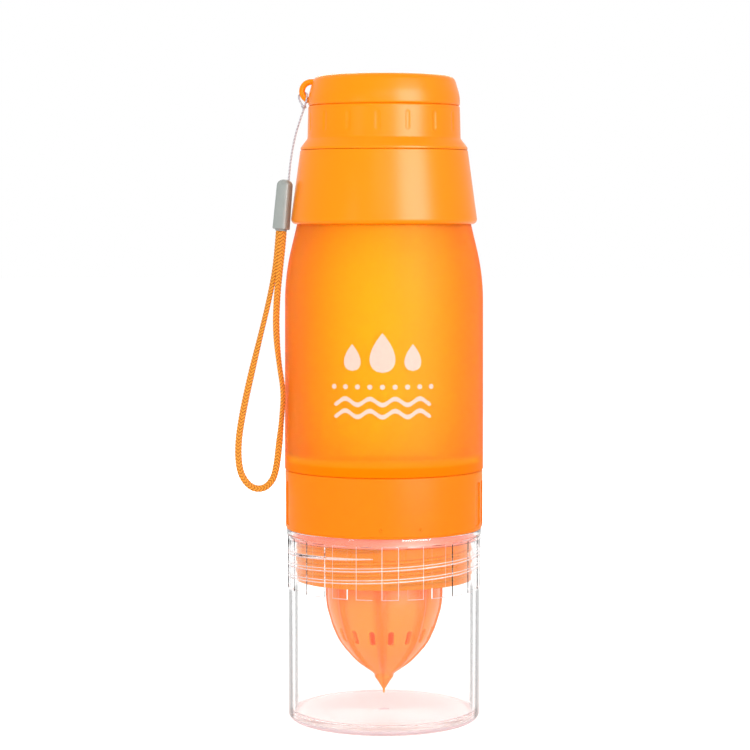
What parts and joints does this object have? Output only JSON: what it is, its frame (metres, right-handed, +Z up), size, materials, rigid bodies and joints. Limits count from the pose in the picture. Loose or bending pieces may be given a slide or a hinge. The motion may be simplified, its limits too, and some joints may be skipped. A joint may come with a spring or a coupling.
{
  "type": "fruit infuser water bottle",
  "caption": "Tall orange water bottle in screwed sections: clear lower cup round a citrus reamer, frosted body, spout collar, domed cap and braided wrist strap.",
  "frame": {"origin": "centre of the base cup's standing face", "axes": "+Z up along the bottle's axis, -Y towards the picture's camera, strap eye at -X"},
  "size_m": [0.0936, 0.075, 0.243],
  "materials": {
    "clear_plastic": "gloss",
    "juicer_plastic": "satin",
    "frosted_plastic": "frosted",
    "orange_plastic": "satin",
    "silicone": "matt",
    "grey_plastic": "satin",
    "thread": "matt",
    "cord": "braided"
  },
  "bodies": {
    "base": {"base_cup": "clear_plastic"},
    "cup_seal": {"cup_gasket": "silicone"},
    "juicer": {"juicer": "juicer_plastic"},
    "bottle_seal": {"bottle_gasket": "silicone"},
    "bottle": {"bottle_body": "frosted_plastic"},
    "collar_seal": {"neck_gasket": "silicone"},
    "collar": {"spout_collar": "orange_plastic"},
    "cap_seal": {"cap_gasket": "silicone"},
    "cap": {"cap_insert": "orange_plastic", "cap_sleeve": "orange_plastic", "cap_top": "orange_plastic"},
    "strap": {"strap_thread": "thread", "strap_bead": "grey_plastic", "strap_plug": "grey_plastic", "strap_cord": "cord"}
  },
  "joints": [
    {"name": "cup_lift", "type": "slide", "parent": "base", "child": "cup_seal", "axis": [0, 0, 1], "range_m": [0, 0.075]},
    {"name": "cup_twist", "type": "hinge", "parent": "cup_seal", "child": "juicer", "pos_m": [0, 0, 0.073], "axis": [0, 0, 1], "range_deg": [0, 540]},
    {"name": "bottle_lift", "type": "slide", "parent": "juicer", "child": "bottle_seal", "axis": [0, 0, 1], "range_m": [0, 0.03]},
    {"name": "bottle_twist", "type": "hinge", "parent": "bottle_seal", "child": "bottle", "pos_m": [0, 0, 0.0776], "axis": [0, 0, 1], "range_deg": [0, 540]},
    {"name": "collar_lift", "type": "slide", "parent": "bottle", "child": "collar_seal", "axis": [0, 0, 1], "range_m": [0, 0.035]},
    {"name": "collar_twist", "type": "hinge", "parent": "collar_seal", "child": "collar", "pos_m": [0, 0, 0.2127], "axis": [0, 0, 1], "range_deg": [0, 540]},
    {"name": "cap_lift", "type": "slide", "parent": "collar", "child": "cap_seal", "axis": [0, 0, 1], "range_m": [0, 0.025]},
    {"name": "cap_twist", "type": "hinge", "parent": "cap_seal", "child": "cap", "pos_m": [0, 0, 0.2331], "axis": [0, 0, 1], "range_deg": [0, 540]},
    {"name": "strap_swing", "type": "hinge", "parent": "cap", "child": "strap", "pos_m": [-0.02725, 0, 0.2373], "axis": [0, 1, 0], "range_deg": [0, 95]}
  ]
}
